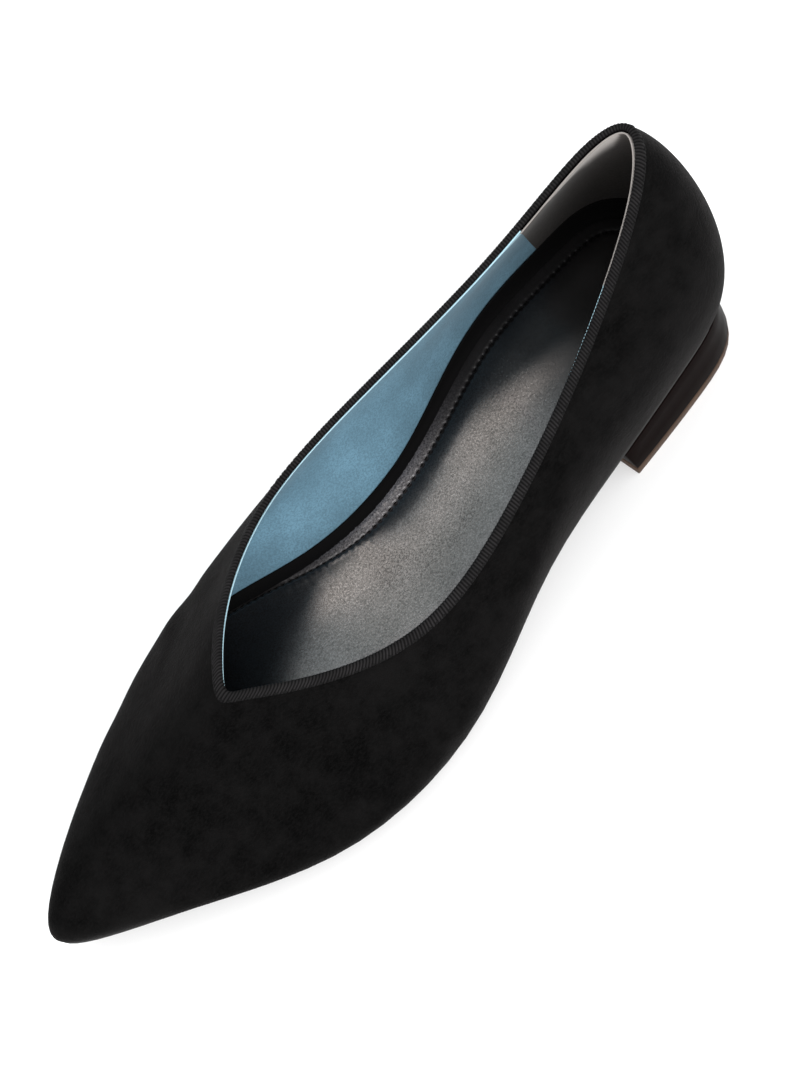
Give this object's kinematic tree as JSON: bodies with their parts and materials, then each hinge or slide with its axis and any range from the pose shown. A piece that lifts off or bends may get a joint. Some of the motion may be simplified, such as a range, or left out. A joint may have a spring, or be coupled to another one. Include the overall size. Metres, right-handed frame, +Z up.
{
  "type": "ballet flat",
  "caption": "Pointed ballet flat for the left foot with a deep V throat, ribbed topline binding, padded insole, thin sole and low block heel.",
  "frame": {"origin": "on the floor, under the middle of the shoe's bounding box", "axes": "+X from heel to toe, +Y to the wearer's left, which is the outer side, +Z up"},
  "size_m": [0.2692, 0.0886, 0.0911],
  "materials": {
    "upper": "matte suede nap",
    "topline_binding": "matte ribbed ribbon",
    "insole": "fine grain, semi-gloss",
    "outsole": "matte",
    "heel": "gloss",
    "top_lift": "satin"
  },
  "bodies": {
    "root": {"upper": "upper", "topline_binding": "topline_binding", "insole": "insole", "outsole": "outsole", "heel": "heel", "top_lift": "top_lift"}
  },
  "joints": []
}
